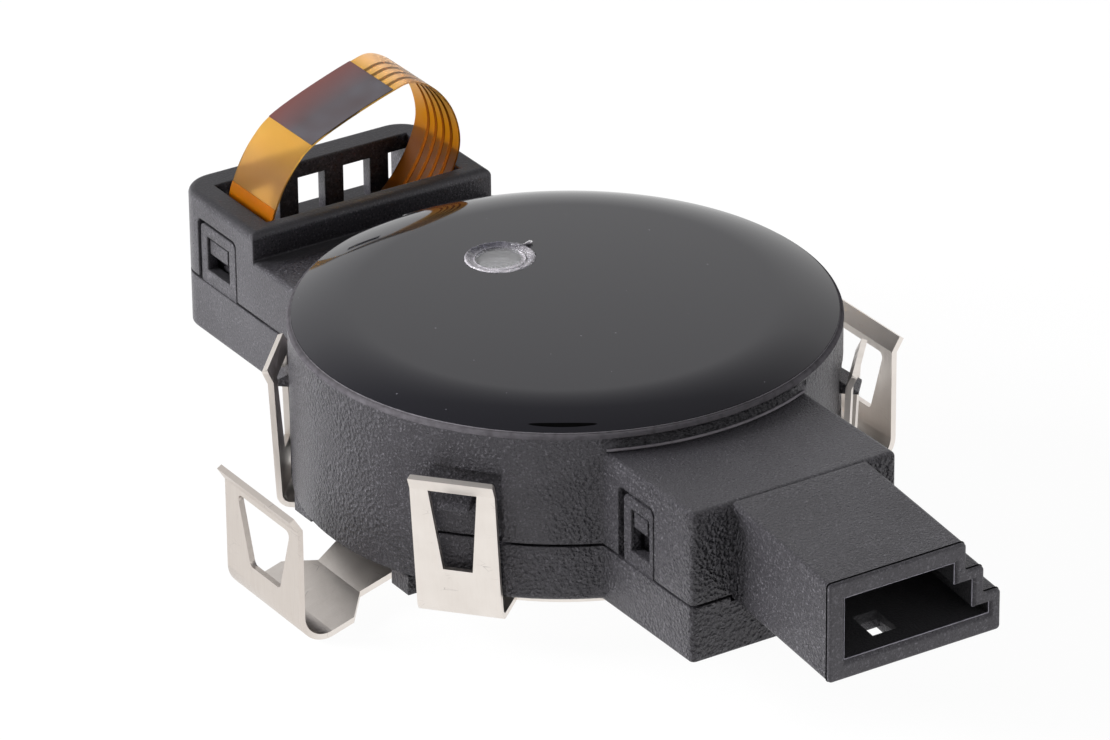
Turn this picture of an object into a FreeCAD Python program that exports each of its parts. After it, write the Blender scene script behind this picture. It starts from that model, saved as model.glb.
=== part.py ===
import FreeCAD, Part
import math
import os

V = FreeCAD.Vector

# A windscreen rain, light and humidity sensor lying with its optical face up.
# The origin is on the axis of the round housing, in the plane of its underside.
# +X runs to the connector mouth, -X to the humidity chamber, +Z to the windscreen.

# Round housing
rim_r = 23.0
rim_z = 15.0
rim_round = 0.3
wall = 1.5
collar_w = 1.0
roof_z = 13.0
roof_t = 1.2
sight_r = 19.5
groove_z = 14.17
groove_r = 0.49
groove_out = 0.1
groove_taper = 3.5

# Seam between the two shells
seam_z = 5.2
seam_gap = 0.25
skirt_z = 0.45
skirt_half_w = 11.5
lip_t = 0.8
lip_h = 0.9
lip_gap = 0.1
floor_t = 1.4
base_round = 0.5
end_base_round = 0.25

# Shoulder block behind the connector
block_x = 33.7
block_half_w = 9.85
block_z = 13.4
block_corner_r = 0.5
block_round = 0.5

# Connector shroud
mouth_x = 47.3
shroud_y_low = -6.05
shroud_y_top = 7.0
shroud_y_mid = 8.75
shroud_y_lobe = 10.4
shroud_z_low = 3.3
shroud_z_lobe = 6.9
shroud_z_mid = 9.4
shroud_fall = 1.45
shroud_wall = 1.6
shroud_step_share = 0.6
shroud_back = 0.8
shroud_round = 0.35
mouth_round = 0.2
mouth_lead = 0.3
mouth_relief_h = 0.4
latch_hole_x = 43.9
latch_hole_y = 0.65
latch_hole_l = 2.9
latch_hole_w = 2.4

# Tail with the humidity chamber at its end
tail_x = 43.7
tail_half_w = 12.0
tail_corner_r = 3.0
deck_z = 10.25
deck_t = 1.3
deck_round = 0.4
chamber_near_x = 30.6
chamber_z = 12.85
chamber_round = 0.7
chamber_far_wall = 2.8
chamber_near_wall = 1.4
chamber_half_w = 9.75
chamber_floor_z = 7.3
chamber_floor_t = 1.2
vent_count = 5
vent_pitch = 4.6
vent_w = 2.75
vent_t = 1.2
vent_z_low = 7.45
vent_z_high = 11.4
foil_slit_h = 1.0
foil_slit_gap = 0.2

# Snap tabs of the tray and the pockets that they close in
tab_t = 1.0
tab_inset = 0.1
tab_gap = 0.35
tab_round = 0.6
tab_back_t = 1.1
block_tab_x = 25.85
block_tab_half_l = 2.1
block_tab_slack = 0.35
block_tab_bar = 0.5
block_tab_z = 11.1
tail_tab_x = -36.75
tail_tab_half_l = 2.9
tail_tab_z = 10.5
tab_bar = 1.05
tab_window_low = 1.1
snap_nub_gap = 0.25
snap_nub_ramp = 1.3
snap_nub_inset = 0.15

# Retaining spring
sheet_t = 0.5
spring_top_z = -1.5
ring_inset = 3.6
ring_hole_r = 12.6
strip_half_w = 4.0
strip_waist = 0.7
strip_bend_inset = 1.0
strip_knee_back = 4.75
strip_knee_z = -3.6
strip_flare = 2.1
arm_half_w = 5.8
arm_stand = 4.05
arm_bend_z = -2.7
arm_bend_r = 1.95
arm_lip_z = 5.3
arm_lip_h = 1.2
arm_lip_out = 0.75
arm_window_shift = 0.35
arm_window_top_half = 4.2
arm_window_low_half = 2.35
arm_window_top_z = 4.75
arm_window_low_z = -1.2

# Latch clips of the spring, and the housing nubs in their windows
clip_angle = 48.5
clip_stand = 0.95
clip_lean = 0.4
clip_skew = 0.45
clip_shift = -2.78
clip_half_w = 3.57
clip_tab_half_w = 2.9
clip_top_z = 10.75
clip_lip_h = 1.1
clip_lip_out = 0.5
clip_corner_r = 0.5
clip_bend_r = 0.6
clip_window_top_half = 2.05
clip_window_low_half = 1.25
clip_window_top_z = 9.55
clip_window_low_z = 2.4
clip_nub_half_w = 1.2
clip_nub_shift = 0.3
clip_nub_z_low = 8.1
clip_nub_z_top = 9.4
clip_nub_proud = 0.35
clip_nub_edge = 0.2
clip_pocket_depth = 0.55
clip_pocket_gap = 0.35
clip_pocket_above = 0.5

# Seats of the spring on the tray
seat_r = 1.6
seat_count = 6
guide_gap = 2.4
guide_inset = 2.85
guide_l = 2.6
guide_w = 1.9
guide_root = 0.25

# Optics
plate_t = 1.6
plate_gap = 0.15
lens_count = 8
lens_ring_r = 13.8
lens_r = 2.4
lens_h = 1.2
lens_round = 0.9
pad_r = 22.67
pad_edge_h = 0.15
pad_crown_z = 16.6
pad_shoulder_r = 17.5
pad_shoulder_z = 16.3
pad_shoulder_rise = 0.24
window_x = -8.6
window_y = -0.9
window_r = 3.0
window_gap = 0.05
window_dish_r = 2.15
window_dish_depth = 0.25
pipe_r = 1.6
pipe_flange_r = 2.2
pipe_flange_h = 0.8

# Circuit board and what is soldered to it
board_t = 1.0
board_gap = 0.3
board_block_x = 31.4
board_block_half_w = 7.0
board_tail_x = 29.6
board_tail_half_w = 8.5
post_r = 1.4
post_block_x = 25.2
post_tail_x = 26.0
post_y = 5.0
emitter_size = (3.2, 2.4, 0.8)
emitter_dome_r = 0.75
receiver_size = (3.6, 3.0, 1.1)
light_sensor_size = (2.2, 2.0, 0.9)
controller_size = (8.0, 8.0, 1.2)
controller_leads = 8
lead_pitch = 0.9
lead_w = 0.4
lead_l = 0.9
lead_t = 0.3
transceiver_size = (5.0, 4.0, 1.6)
transceiver_at = (22.8, -3.6)
capacitor_size = (3.2, 2.5, 1.7)
capacitor_at = [(6.5, 5.0), (6.5, -5.0), (-3.5, 6.5), (-3.5, -6.5)]
coil_size = (5.0, 5.0, 2.6)
coil_at = (22.8, 4.2)
crystal_size = (3.2, 1.5, 0.8)
crystal_at = (1.5, 0.0)
foil_socket_size = (2.8, 8.2, 1.3)

# Contact pins
pin_count = 4
pin_pitch = 2.54
pin_w = 0.64
pin_mid_y = 0.5
pin_z = 8.3
pin_tip_x = 41.0
pin_leg_x = 29.0
pin_leg_below = 1.2
pin_gap = 0.05
pin_taper = 0.6
carrier_x = 27.6
carrier_l = 4.2
carrier_half_w = 5.6
carrier_h = 2.6

# Humidity foil, in the plane of the chamber's length
foil_x_low = -39.65
foil_x_high = -33.3
foil_t = 0.2
foil_gap = 0.1
foil_foot = [(-9.3, 8.1), (-9.25, 10.8), (-8.6, 13.2), (-7.45, 15.3), (-6.1, 16.9)]
foil_patch_low = (-4.4, 18.3)
foil_patch_high = (3.4, 21.55)
foil_bow = [(5.2, 21.95), (7.0, 21.2), (8.65, 19.6), (9.75, 17.5), (10.1, 15.0)]
foil_return = [(9.35, 12.6), (8.15, 10.6), (6.9, 9.1), (5.6, 8.05)]
foil_flat_y = 3.2
foil_end_y = 0.6
foil_tail_l = 6.6
stiffener_t = 0.25
stiffener_inset = 0.1
humidity_chip = (3.0, 3.0, 0.8)

# How far pieces that are fused reach into each other, and how far cutters run past the part
bite = 0.1
past = 3 * rim_r

arm_bend_y = rim_r + arm_stand
strip_knee_y = arm_bend_y - strip_knee_back
ring_r = rim_r - ring_inset
strip_bend_y = ring_r - strip_bend_inset
clip_reach = rim_r + clip_stand
clip_pocket_r = rim_r - clip_pocket_depth
seat_ring_r = (ring_r + ring_hole_r) / 2
guide_x = strip_half_w + guide_gap + guide_l / 2
guide_y = rim_r - guide_inset
ceiling_z = roof_z - roof_t
tray_z = seam_z - seam_gap
lip_inset = wall + lip_gap
tray_inset = lip_inset + lip_t
board_z = seam_z + lip_h
board_top = board_z + board_t
plate_top = roof_z + plate_t
spring_low_z = spring_top_z - sheet_t
chamber_far_in = tail_x - chamber_far_wall
chamber_near_in = chamber_near_x + chamber_near_wall
foil_floor_z = chamber_floor_z + foil_gap


def box(x0, x1, y0, y1, z0, z1):
    return Part.makeBox(x1 - x0, y1 - y0, z1 - z0, V(x0, y0, z0))


def cylinder(r, z0, z1, x=0.0, y=0.0):
    return Part.makeCylinder(r, z1 - z0, V(x, y, z0))


def prism(points, along):
    return Part.Face(Part.makePolygon(points + points[:1])).extrude(along)


def mirror_x(shape):
    return shape.mirror(V(0, 0, 0), V(1, 0, 0))


def mirror_y(shape):
    return shape.mirror(V(0, 0, 0), V(0, 1, 0))


def both_sides(shape):
    return [shape, mirror_y(shape)]


def four_ways(shape):
    return both_sides(shape) + both_sides(mirror_x(shape))


def edges_where(shape, test):
    return [edge for edge in shape.Edges if test(edge.BoundBox)]


def round_box(x0, x1, half_w, z0, z1, corner_r, top_r=0.0, base_r=0.0):
    """A block from x0, inside the housing, to its free end x1, with rounded edges."""
    solid = box(min(x0, x1), max(x0, x1), -half_w, half_w, z0, z1)
    slack = 0.001

    def upright(b):
        return abs(b.XMin - x1) < slack and b.XLength < slack and b.YLength < slack

    def free(b):
        return abs(b.XMin - x0) > slack or b.XLength > slack

    solid = solid.makeFillet(corner_r, edges_where(solid, upright))
    if top_r > 0:
        solid = solid.makeFillet(top_r, edges_where(solid, lambda b: b.ZMin > z1 - slack and free(b)))
    if base_r > 0:
        solid = solid.makeFillet(base_r, edges_where(solid, lambda b: b.ZMax < z0 + slack and free(b)))
    return solid


def round_disc(r, z0, z1, top_r=0.0, base_r=0.0):
    solid = cylinder(r, z0, z1)
    if top_r > 0:
        solid = solid.makeFillet(top_r, edges_where(solid, lambda b: b.ZMin > z1 - 0.001))
    if base_r > 0:
        solid = solid.makeFillet(base_r, edges_where(solid, lambda b: b.ZMax < z0 + 0.001))
    return solid


def footprint(inset, z0, z1, base_r=0.0, end_base_r=0.0):
    """The housing's plan, drawn in by inset: round body, shoulder block and tail."""
    body = round_disc(rim_r - inset, z0, z1, 0.0, base_r)
    block_r = max(block_corner_r - inset, 0.3)
    tail_r = max(tail_corner_r - inset, 0.3)
    block = round_box(0, block_x - inset, block_half_w - inset, z0, z1, block_r, 0.0, end_base_r)
    tail = round_box(0, inset - tail_x, tail_half_w - inset, z0, z1, tail_r, 0.0, end_base_r)
    return body.fuse([block, tail]).removeSplitter()


def skirt_band(r_out, r_in, half_w, z0, z1):
    """The part of a round wall that lies near the Y axis, on both sides."""
    ring = cylinder(r_out, z0, z1).cut(cylinder(r_in, z0, z1))
    return ring.common(box(-half_w, half_w, -past, past, z0, z1))


def stair_section(x, inset):
    """The shroud's stepped section at x, drawn in by inset, and by less on its stepped side."""
    step = inset * shroud_step_share
    rise = shroud_fall * (mouth_x - x) / (mouth_x - block_x)
    top = block_z - shroud_fall
    corners = [
        (shroud_y_low + inset, shroud_z_low + inset),
        (shroud_y_lobe - step, shroud_z_low + inset),
        (shroud_y_lobe - step, shroud_z_lobe - step),
        (shroud_y_mid - step, shroud_z_lobe - step),
        (shroud_y_mid - step, shroud_z_mid - step),
        (shroud_y_top - step, shroud_z_mid - step),
        (shroud_y_top - step, top - inset),
        (shroud_y_low + inset, top - inset),
    ]
    points = [V(x, y, z + rise) for y, z in corners]
    return Part.makePolygon(points + points[:1])


def stair_solid(x0, inset0, x1, inset1):
    return Part.makeLoft([stair_section(x0, inset0), stair_section(x1, inset1)], True, True)


def pin_y(index):
    return pin_mid_y + (index - (pin_count - 1) / 2) * pin_pitch


def pin_row(grow):
    """The straight runs of the contact pins, each side moved out by grow."""
    half = pin_w / 2 + grow
    return [box(pin_leg_x - half, pin_tip_x, pin_y(i) - half, pin_y(i) + half,
                pin_z - half, pin_z + half) for i in range(pin_count)]


def tab_places():
    """Each snap tab's place and size, the slack on its -X side, and the bar on the window's +X side."""
    return [(block_tab_x, block_half_w, block_tab_half_l, block_tab_z, block_tab_slack, block_tab_bar),
            (tail_tab_x, tail_half_w, tail_tab_half_l, tail_tab_z, 0, tab_bar)]


def tab_block(x0, x1, y_in, y_out, z0, z1):
    """A snap tab's outline on the -Y side, with its two upper corners rounded."""
    solid = box(x0, x1, -y_out, -y_in, z0, z1)
    top = edges_where(solid, lambda b: b.ZMin > z1 - 0.001 and b.XLength < 0.001)
    return solid.makeFillet(tab_round, top)


def snap_nub(x0, x1, half_w, z1):
    """The catch that fills the upper part of a tab's window; its ramp faces down."""
    y_floor = half_w - tab_inset - tab_t - tab_gap
    y_face = half_w - tab_inset - snap_nub_inset
    z_top = z1 - tab_bar - snap_nub_gap
    z_face = z_top - snap_nub_ramp
    start = x0 + snap_nub_gap
    profile = [V(start, -y_floor, z_face - snap_nub_ramp), V(start, -y_face, z_face),
               V(start, -y_face, z_top), V(start, -y_floor, z_top)]
    return prism(profile, V(x1 - x0 - 3 * snap_nub_gap, 0, 0))


def clip_frame(shape):
    """Moves a shape drawn with +X as a clip's outward normal to the clip at +X, -Y."""
    shape.translate(V(0, clip_shift, 0))
    shape.rotate(V(0, 0, 0), V(0, 0, 1), -clip_angle)
    return shape


def clip_nub():
    """The housing's catch in a latch clip's window, with a ramp on top and a square foot."""
    face = clip_reach + clip_nub_proud
    y0 = clip_nub_shift - clip_nub_half_w
    profile = [V(sight_r, y0, clip_nub_z_low), V(face, y0, clip_nub_z_low),
               V(face, y0, clip_nub_z_low + clip_nub_edge),
               V(clip_pocket_r, y0, clip_nub_z_top), V(sight_r, y0, clip_nub_z_top)]
    nub = clip_frame(prism(profile, V(0, 2 * clip_nub_half_w, 0)))
    return nub.cut(cylinder(rim_r - wall + bite, 0, rim_z))


def clip_pocket():
    """The flat that is cut into the round wall behind a latch clip."""
    half = clip_half_w + clip_pocket_gap
    return clip_frame(box(clip_pocket_r, past, -half, half, -1, clip_top_z + clip_pocket_above))


def upper_outside():
    body = round_disc(rim_r, seam_z, rim_z, rim_round)
    block = round_box(0, block_x, block_half_w, seam_z, block_z, block_corner_r, block_round)
    deck = round_box(0, -tail_x, tail_half_w, seam_z, deck_z, tail_corner_r, deck_round)
    chamber = round_box(-chamber_near_x, -tail_x, tail_half_w, seam_z, chamber_z, tail_corner_r)
    top = edges_where(chamber, lambda b: b.ZMin > chamber_z - 0.001)
    chamber = chamber.makeFillet(chamber_round, top)
    skirt = skirt_band(rim_r, rim_r - wall, skirt_half_w, skirt_z, seam_z + 1)
    return body.fuse([block, deck, chamber, skirt, shroud_outside()])


def shroud_outside():
    """The connector shroud's outer form, with its long edges and its mouth rounded."""
    shroud = stair_solid(block_x, 0, mouth_x, 0)
    shroud = shroud.makeFillet(shroud_round, edges_where(shroud, lambda b: b.XLength > wall))
    return shroud.makeFillet(mouth_round, edges_where(shroud, lambda b: b.XMin > mouth_x - 0.001))


def upper_hollow():
    """Everything taken out of the upper housing."""
    below = seam_z - 1
    round_bay = cylinder(rim_r - wall, below, ceiling_z)
    sight = cylinder(sight_r, ceiling_z - 1, roof_z + 1)
    recess = cylinder(rim_r - collar_w, roof_z, rim_z + 1)
    block_bay = box(0, block_x - wall, wall - block_half_w, block_half_w - wall, below, ceiling_z)
    tail_bay = box(wall - tail_x, 0, wall - tail_half_w, tail_half_w - wall,
                   below, chamber_floor_z - chamber_floor_t)
    deck_bay = box(-chamber_near_x, 0, wall - tail_half_w, tail_half_w - wall, below, deck_z - deck_t)
    chamber = box(-chamber_far_in, -chamber_near_in, -chamber_half_w, chamber_half_w,
                  chamber_floor_z, chamber_z + 1)
    slit = box(-chamber_near_in - 1, -chamber_near_x + 1,
               foil_end_y - foil_slit_gap, foil_return[-1][0] + foil_slit_gap,
               chamber_floor_z, chamber_floor_z + foil_slit_h)
    cavity = stair_solid(block_x + shroud_back, shroud_wall, mouth_x + 1, shroud_wall)
    lead_in = stair_solid(mouth_x - mouth_lead, shroud_wall,
                          mouth_x + mouth_lead, shroud_wall - 2 * mouth_lead)
    latch_hole = box(latch_hole_x - latch_hole_l / 2, latch_hole_x + latch_hole_l / 2,
                     latch_hole_y - latch_hole_w / 2, latch_hole_y + latch_hole_w / 2,
                     shroud_z_low - 1, shroud_z_low + shroud_fall + shroud_wall)
    groove = Part.makeTorus(rim_r + groove_out + groove_taper, groove_r, V(-groove_taper, 0, groove_z))
    groove = groove.common(box(0, past, -block_half_w, block_half_w, block_z, rim_z))
    return [round_bay, sight, recess, block_bay, tail_bay, deck_bay, chamber, slit, cavity, lead_in,
            latch_hole, groove] + vents() + pin_row(pin_gap) + four_ways(clip_pocket())


def vents():
    """The upright slots in the far wall of the humidity chamber, and the recess outside them."""
    slots = [box(-past, -chamber_far_in - vent_t, -chamber_half_w, chamber_half_w, vent_z_low, vent_z_high)]
    for i in range(vent_count):
        y = (i - (vent_count - 1) / 2) * vent_pitch
        y0 = max(y - vent_w / 2, -chamber_half_w)
        y1 = min(y + vent_w / 2, chamber_half_w)
        slots.append(box(-tail_x - 1, bite - chamber_far_in, y0, y1, vent_z_low, vent_z_high))
    return slots


def upper_housing():
    shell = upper_outside().cut(upper_hollow())
    for x, half_w, half_l, z1, slack, bar in tab_places():
        backing = box(x - half_l - slack - tab_back_t, x + half_l + tab_back_t,
                      wall - half_w - bite, wall - half_w + tab_back_t,
                      board_top + tab_gap, ceiling_z)
        pocket = tab_block(x - half_l - slack - tab_gap, x + half_l + tab_gap,
                           half_w - tab_inset - tab_t - tab_gap, half_w + 1, seam_z - 1, z1 + tab_gap)
        if x > 0:
            shell = shell.fuse(both_sides(backing))
        shell = shell.cut(both_sides(pocket))
        shell = shell.fuse(both_sides(snap_nub(x - half_l + tab_bar, x + half_l - bar, half_w, z1)))
    return shell.fuse(four_ways(clip_nub())).removeSplitter()


def lower_housing():
    tray = footprint(0, 0, tray_z, base_round, end_base_round)
    lip = footprint(lip_inset, floor_t, board_z)
    tray = tray.fuse(lip).cut(footprint(tray_inset, floor_t, board_z + 1))
    relief = skirt_band(rim_r + 1, rim_r - wall - lip_gap, skirt_half_w + lip_gap, -1, board_z)
    mouth_relief = box(block_x - wall - lip_inset, block_x + 1,
                       shroud_y_low - lip_gap, shroud_y_lobe + lip_gap,
                       tray_z - mouth_relief_h, tray_z)
    tray = tray.cut([relief, mouth_relief] + four_ways(clip_pocket()))
    for x, half_w, half_l, z1, _, bar in tab_places():
        tray = tray.fuse(both_sides(snap_tab(x, half_w, half_l, z1, bar)))
    posts = []
    for x in (post_block_x, -post_tail_x):
        posts += both_sides(cylinder(post_r, floor_t - bite, board_z, x, -post_y))
    return tray.fuse(posts + spring_seats()).removeSplitter()


def snap_tab(x, half_w, half_l, z1, bar):
    """A tab that stands on the tray's wall, with the window that catches the nub."""
    y_out = half_w - tab_inset
    tab = tab_block(x - half_l, x + half_l, y_out - tab_t, y_out, tray_z - tab_t / 2, z1)
    window = box(x - half_l + tab_bar, x + half_l - bar, -y_out - 1, tab_t + 1 - y_out,
                 seam_z + tab_window_low, z1 - tab_bar)
    return tab.cut(window)


def spring_seats():
    """Pads that the spring's ring lies on, and guides beside its two strips."""
    pads = []
    for i in range(seat_count):
        a = 2 * math.pi * i / seat_count
        x = seat_ring_r * math.cos(a)
        y = seat_ring_r * math.sin(a)
        pads.append(cylinder(seat_r, spring_top_z, bite, x, y))
    guide = box(guide_x - guide_l / 2, guide_x + guide_l / 2,
                -guide_y - guide_w / 2, -guide_y + guide_w / 2,
                spring_top_z, guide_root)
    return pads + four_ways(guide)


def bend_profile():
    """The spring's side view from its ring to the lip: a strip, a J bend and a leg."""
    mid_r = arm_bend_r + sheet_t / 2
    dy = arm_bend_y - strip_knee_y
    dz = arm_bend_z - strip_knee_z
    reach = math.hypot(dy, dz)
    slope = math.atan2(dz, dy) - math.asin(mid_r / reach)
    run = math.sqrt(reach ** 2 - mid_r ** 2)
    touch = V(0, strip_knee_y + run * math.cos(slope), strip_knee_z + run * math.sin(slope))
    leg_y = arm_bend_y + mid_r
    half_turn = slope / 2
    arc_mid = V(0, arm_bend_y + mid_r * math.sin(half_turn + math.pi / 4),
                arm_bend_z - mid_r * math.cos(half_turn + math.pi / 4))
    start = V(0, strip_bend_y, spring_top_z - sheet_t / 2)
    knee = V(0, strip_knee_y, strip_knee_z)
    leg = V(0, leg_y, arm_bend_z)
    lip = V(0, leg_y, arm_lip_z)
    tip = V(0, leg_y + arm_lip_out, arm_lip_z + arm_lip_h)
    edges = [Part.LineSegment(start, knee).toShape(), Part.LineSegment(knee, touch).toShape(),
             Part.Arc(touch, arc_mid, leg).toShape(), Part.LineSegment(leg, lip).toShape(),
             Part.LineSegment(lip, tip).toShape()]
    return Part.Wire(edges)


def sheet_from(wire, thickness, along):
    """A sheet of the spring's thickness, half of it on each side of a flat open wire."""
    one_face = wire.makeOffset2D(-thickness / 2, 2, False, True)
    return one_face.makeOffset2D(thickness, 2, True, True).extrude(along)


def bent_strip():
    """One whole side of the spring, from the ring to the arm's lip, on the +Y side."""
    sheet = sheet_from(bend_profile(), sheet_t, V(2 * arm_half_w, 0, 0))
    sheet.translate(V(-arm_half_w, 0, 0))
    half_plan = [(strip_half_w, 0), (strip_half_w, ring_r), (strip_half_w - strip_waist, strip_knee_y),
                 (arm_half_w, strip_knee_y + strip_flare), (arm_half_w, past)]
    plan = [V(x, y, -past) for x, y in half_plan]
    plan += [V(-x, y, -past) for x, y in reversed(half_plan)]
    return sheet.common(prism(plan, V(0, 0, 2 * past)))


def spring_arm():
    window = prism([V(-arm_window_top_half, arm_bend_y, arm_window_top_z),
                    V(arm_window_top_half, arm_bend_y, arm_window_top_z),
                    V(arm_window_low_half, arm_bend_y, arm_window_low_z),
                    V(-arm_window_low_half, arm_bend_y, arm_window_low_z)], V(0, past, 0))
    window = window.makeFillet(sheet_t, edges_where(window, lambda b: b.YLength > past / 2))
    window.translate(V(arm_window_shift, 0, 0))
    side = box(-past, past, arm_bend_y, past, -past, past)
    return bent_strip().common(side).cut(window)


def clip_profile():
    """A latch clip's side view: its foot on the ring, the bend, the leaning leg and the lip."""
    mid_r = clip_bend_r + sheet_t / 2
    foot_z = spring_top_z - sheet_t / 2
    top_x = clip_reach - sheet_t / 2
    low_x = top_x - clip_lean
    corner = mid_r * (1 - math.sqrt(0.5))
    foot = V(low_x - mid_r, 0, foot_z)
    leg = V(low_x, 0, foot_z + mid_r)
    lip = V(top_x, 0, clip_top_z - clip_lip_h)
    edges = [Part.LineSegment(V(seat_ring_r, 0, foot_z), foot).toShape(),
             Part.Arc(foot, V(low_x - corner, 0, foot_z + corner), leg).toShape(),
             Part.LineSegment(leg, lip).toShape(),
             Part.LineSegment(lip, V(top_x + clip_lip_out, 0, clip_top_z)).toShape()]
    return Part.Wire(edges)


def latch_clip():
    """One upright clip with its window, its lip and the bend down to the ring."""
    sheet = sheet_from(clip_profile(), sheet_t, V(0, 4 * clip_half_w, 0))
    sheet.translate(V(0, -2 * clip_half_w, 0))
    low_z = spring_low_z - sheet_t
    high_z = clip_top_z + sheet_t / 2
    front = prism([V(0, clip_skew - clip_half_w, low_z), V(0, clip_skew + clip_half_w, low_z),
                   V(0, clip_half_w, high_z), V(0, -clip_half_w, high_z)], V(past, 0, 0))
    front = front.makeFillet(clip_corner_r, edges_where(front, lambda b: b.XLength > rim_r and b.ZMin > 0))
    skew_top = clip_skew * (clip_top_z - clip_window_top_z) / clip_top_z
    skew_low = clip_skew * (clip_top_z - clip_window_low_z) / clip_top_z
    window = prism([V(rim_r - wall, skew_top - clip_window_top_half, clip_window_top_z),
                    V(rim_r - wall, skew_top + clip_window_top_half, clip_window_top_z),
                    V(rim_r - wall, skew_low + clip_window_low_half, clip_window_low_z),
                    V(rim_r - wall, skew_low - clip_window_low_half, clip_window_low_z)], V(past, 0, 0))
    trim = prism([V(ring_hole_r, -clip_half_w, -past), V(past, -clip_half_w, -past), V(past, past, -past),
                  V(ring_r, clip_half_w + clip_skew, -past), V(ring_hole_r, clip_tab_half_w, -past)],
                 V(0, 0, 2 * past))
    return clip_frame(sheet.common(front).common(trim).cut(window))


def retaining_spring():
    hole = cylinder(ring_hole_r, spring_low_z, spring_top_z)
    ring = cylinder(ring_r, spring_low_z, spring_top_z)
    strip = bent_strip().common(box(-past, past, 0, arm_bend_y, -past, past))
    root = box(-strip_half_w, strip_half_w, seat_ring_r, strip_bend_y, spring_low_z, spring_top_z)
    whole = ring.fuse(both_sides(strip.fuse(root)) + four_ways(latch_clip())).removeSplitter()
    return whole.cut(hole)


def ring_places(count, start=0.0):
    """Centres of the optical parts, evenly spaced on the lens ring."""
    turns = [2 * math.pi * i / count + start for i in range(count)]
    return [(lens_ring_r * math.cos(a), lens_ring_r * math.sin(a)) for a in turns]


def lens_plate():
    plate = cylinder(rim_r - collar_w - plate_gap, roof_z, plate_top)
    lenses = [cylinder(lens_r, roof_z - lens_h, roof_z, x, y) for x, y in ring_places(lens_count)]
    foot_z = roof_z - lens_h + 0.001
    lenses = [lens.makeFillet(lens_round, edges_where(lens, lambda b: b.ZMax < foot_z)) for lens in lenses]
    hole = cylinder(pipe_r + window_gap, roof_z - 1, plate_top + 1, window_x, window_y)
    seat = cylinder(pipe_flange_r + window_gap, plate_top - pipe_flange_h, plate_top + 1, window_x, window_y)
    return plate.fuse(lenses).cut([hole, seat])


def coupling_pad():
    """The domed silicone face: a plug inside the collar and a lens over its top."""
    inner_r = rim_r - collar_w - plate_gap
    edge_z = rim_z + pad_edge_h
    crown_mid = V(pad_shoulder_r / 2, 0, pad_crown_z - (pad_crown_z - pad_shoulder_z) / 4)
    shoulder = V(pad_shoulder_r, 0, pad_shoulder_z)
    edge = V(pad_r, 0, edge_z)
    shoulder_mid = (shoulder + edge) * 0.5 + V(0, 0, pad_shoulder_rise)
    edges = [Part.LineSegment(V(0, 0, plate_top), V(inner_r, 0, plate_top)).toShape(),
             Part.LineSegment(V(inner_r, 0, plate_top), V(inner_r, 0, rim_z)).toShape(),
             Part.LineSegment(V(inner_r, 0, rim_z), V(pad_r, 0, rim_z)).toShape(),
             Part.LineSegment(V(pad_r, 0, rim_z), edge).toShape(),
             Part.Arc(edge, shoulder_mid, shoulder).toShape(),
             Part.Arc(shoulder, crown_mid, V(0, 0, pad_crown_z)).toShape(),
             Part.LineSegment(V(0, 0, pad_crown_z), V(0, 0, plate_top)).toShape()]
    pad = Part.Face(Part.Wire(edges)).revolve(V(0, 0, 0), V(0, 0, 1), 360)
    return pad.cut(cylinder(window_r + window_gap, plate_top - 1, pad_crown_z + 1, window_x, window_y))


def light_window():
    """The clear plug in the pad, with a dished middle and a raised ring."""
    plug = cylinder(window_r, plate_top, pad_crown_z, window_x, window_y)
    plug = plug.makeFillet(window_gap * 2, edges_where(plug, lambda b: b.ZMin > pad_crown_z - 0.001))
    sphere_r = (window_dish_r ** 2 + window_dish_depth ** 2) / (2 * window_dish_depth)
    dish = Part.makeSphere(sphere_r, V(window_x, window_y, pad_crown_z - window_dish_depth + sphere_r))
    return plug.cut(dish)


def light_pipe():
    """The clear rod from under the window to just above the ambient light sensor."""
    foot_z = board_top + light_sensor_size[2] + plate_gap
    rod = cylinder(pipe_r, foot_z, plate_top, window_x, window_y)
    return rod.fuse(cylinder(pipe_flange_r, plate_top - pipe_flange_h, plate_top, window_x, window_y))


def chip(size, at, z0):
    length, width, height = size
    x, y = at
    body = box(x - length / 2, x + length / 2, y - width / 2, y + width / 2, z0, z0 + height)
    top = edges_where(body, lambda b: b.ZMin > z0 + height - 0.001)
    return body.makeChamfer(min(size) / 8, top)


def circuit_board():
    upper_r = rim_r - wall - board_gap
    board = cylinder(upper_r, board_z, board_top)
    block = box(0, board_block_x, -board_block_half_w, board_block_half_w, board_z, board_top)
    tail = box(-board_tail_x, 0, -board_tail_half_w, board_tail_half_w, board_z, board_top)
    holes = [cylinder(pin_w, board_z - 1, board_top + 1, pin_leg_x, pin_y(i)) for i in range(pin_count)]
    return board.fuse([block, tail]).removeSplitter().cut(holes)


def infrared_emitters():
    parts = []
    for x, y in ring_places(lens_count // 2):
        base = chip(emitter_size, (x, y), board_top)
        dome = Part.makeSphere(emitter_dome_r, V(x, y, board_top + emitter_size[2]))
        parts.append(base.fuse(dome))
    return Part.makeCompound(parts)


def infrared_receivers():
    start = math.pi / (lens_count // 2)
    places = ring_places(lens_count // 2, start)
    return Part.makeCompound([chip(receiver_size, at, board_top) for at in places])


def controller_chip():
    length, width, height = controller_size
    body = chip(controller_size, (0, 0), board_z - height)
    leads = []
    for i in range(controller_leads):
        along = (i - (controller_leads - 1) / 2) * lead_pitch
        for turn in range(4):
            lead = box(length / 2 - bite, length / 2 + lead_l, along - lead_w / 2, along + lead_w / 2,
                       board_z - lead_t, board_z)
            lead.rotate(V(0, 0, 0), V(0, 0, 1), 90 * turn)
            leads.append(lead)
    return body.fuse(leads)


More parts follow.
